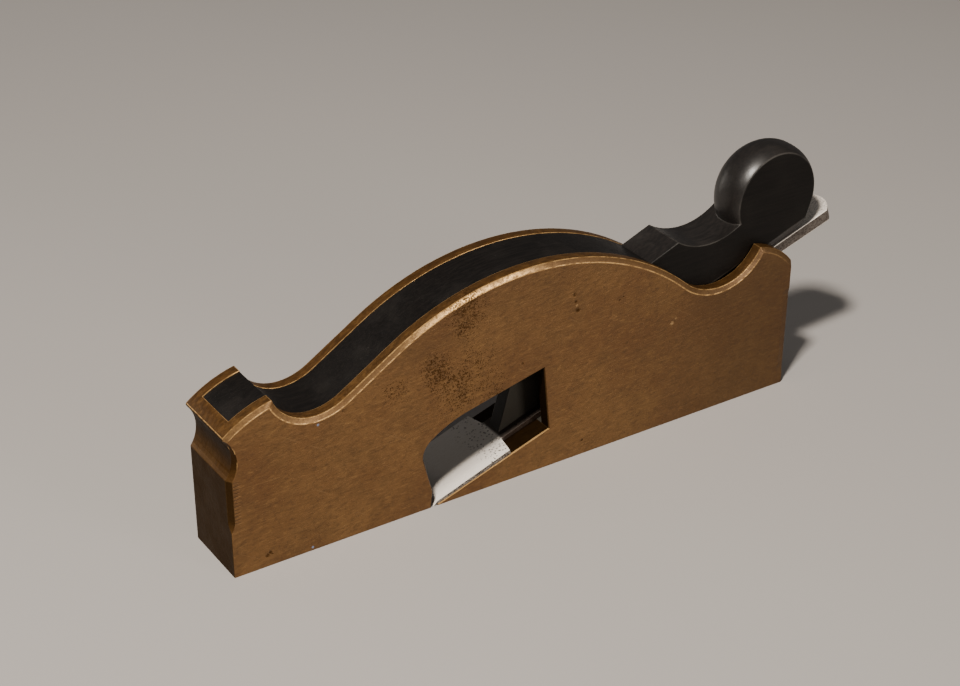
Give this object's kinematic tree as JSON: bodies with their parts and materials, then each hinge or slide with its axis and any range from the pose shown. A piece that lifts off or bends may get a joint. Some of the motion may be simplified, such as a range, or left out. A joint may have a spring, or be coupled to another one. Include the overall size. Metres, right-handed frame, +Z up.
{
  "type": "infill shoulder plane",
  "caption": "Narrow rebate hand plane: humped bronze-coloured cast body open through both cheeks, black wood filling, wedge with round finger rest, and a full-width iron.",
  "frame": {"origin": "on the sole, below the middle of the body's length and width", "axes": "+X from toe to heel, +Y across the sole, +Z up from the sole"},
  "size_m": [0.2423, 0.0254, 0.0894],
  "materials": {
    "gunmetal": "aged satin, handled",
    "ebony": "oiled satin",
    "wedge_ebony": "polished by handling",
    "iron_steel": "ground, lightly pitted",
    "pin_metal": "filed flush"
  },
  "bodies": {
    "plane_body": {"body_casting": "gunmetal", "front_infill": "ebony", "rear_infill": "ebony", "infill_pin_toe": "pin_metal", "infill_pin_throat": "pin_metal", "infill_pin_crown": "pin_metal", "infill_pin_bed": "pin_metal", "infill_pin_heel": "pin_metal"},
    "iron": {"iron": "iron_steel"},
    "wedge": {"wedge": "wedge_ebony"}
  },
  "joints": [
    {"name": "iron_depth", "type": "slide", "parent": "plane_body", "child": "iron", "axis": [0.95, 0, 0.3123], "range_m": [-0.0005, 0.014]},
    {"name": "wedge_slide", "type": "slide", "parent": "plane_body", "child": "wedge", "axis": [0.9432, 0, 0.3322], "range_m": [0, 0.125]}
  ]
}
